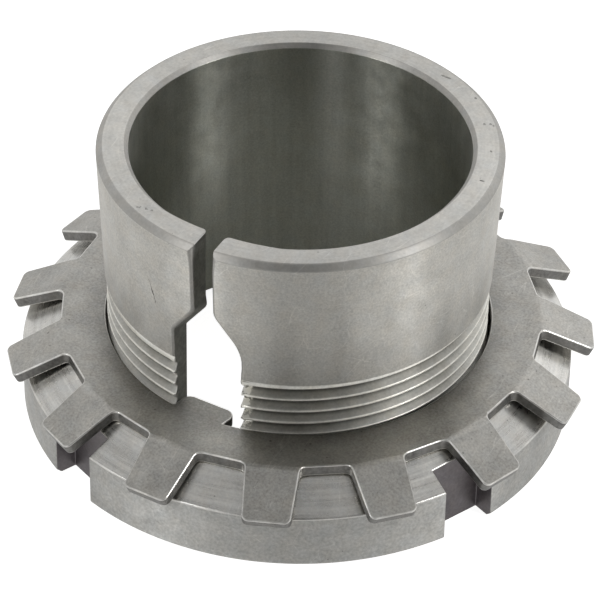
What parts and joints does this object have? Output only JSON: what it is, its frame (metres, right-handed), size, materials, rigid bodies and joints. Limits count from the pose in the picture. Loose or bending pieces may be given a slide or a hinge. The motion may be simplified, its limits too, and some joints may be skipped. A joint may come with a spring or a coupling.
{
  "type": "bearing adapter sleeve",
  "caption": "Split tapered sleeve with a threaded end, a slotted ring nut and a tab washer, for holding a taper-bore bearing on a plain shaft.",
  "frame": {"origin": "on the axis of the shaft's bore, in the plane of the nut's lower face", "axes": "+Z along the bore towards the sleeve's wide end, -Y through the sleeve's slot"},
  "size_m": [0.062, 0.062, 0.0319],
  "materials": {
    "sleeve_steel": "fine turned steel",
    "washer_steel": "matt punched sheet steel",
    "nut_steel": "satin turned steel"
  },
  "bodies": {
    "sleeve": {"adapter_sleeve": "sleeve_steel"},
    "washer": {"lock_washer": "washer_steel"},
    "nut": {"lock_nut": "nut_steel"}
  },
  "joints": [
    {"name": "washer_slide", "type": "slide", "parent": "sleeve", "child": "washer", "axis": [0, 0, 1], "range_m": [-0.006, 0.006]},
    {"name": "nut_turn", "type": "hinge", "parent": "washer", "child": "nut", "pos_m": [0, 0, 0], "axis": [0, 0, 1], "range_deg": [-1440, 1440]}
  ],
  "couplings": [
    {"joint": "washer_slide", "follows": "nut_turn", "m_per_rad": 0.00023873}
  ]
}
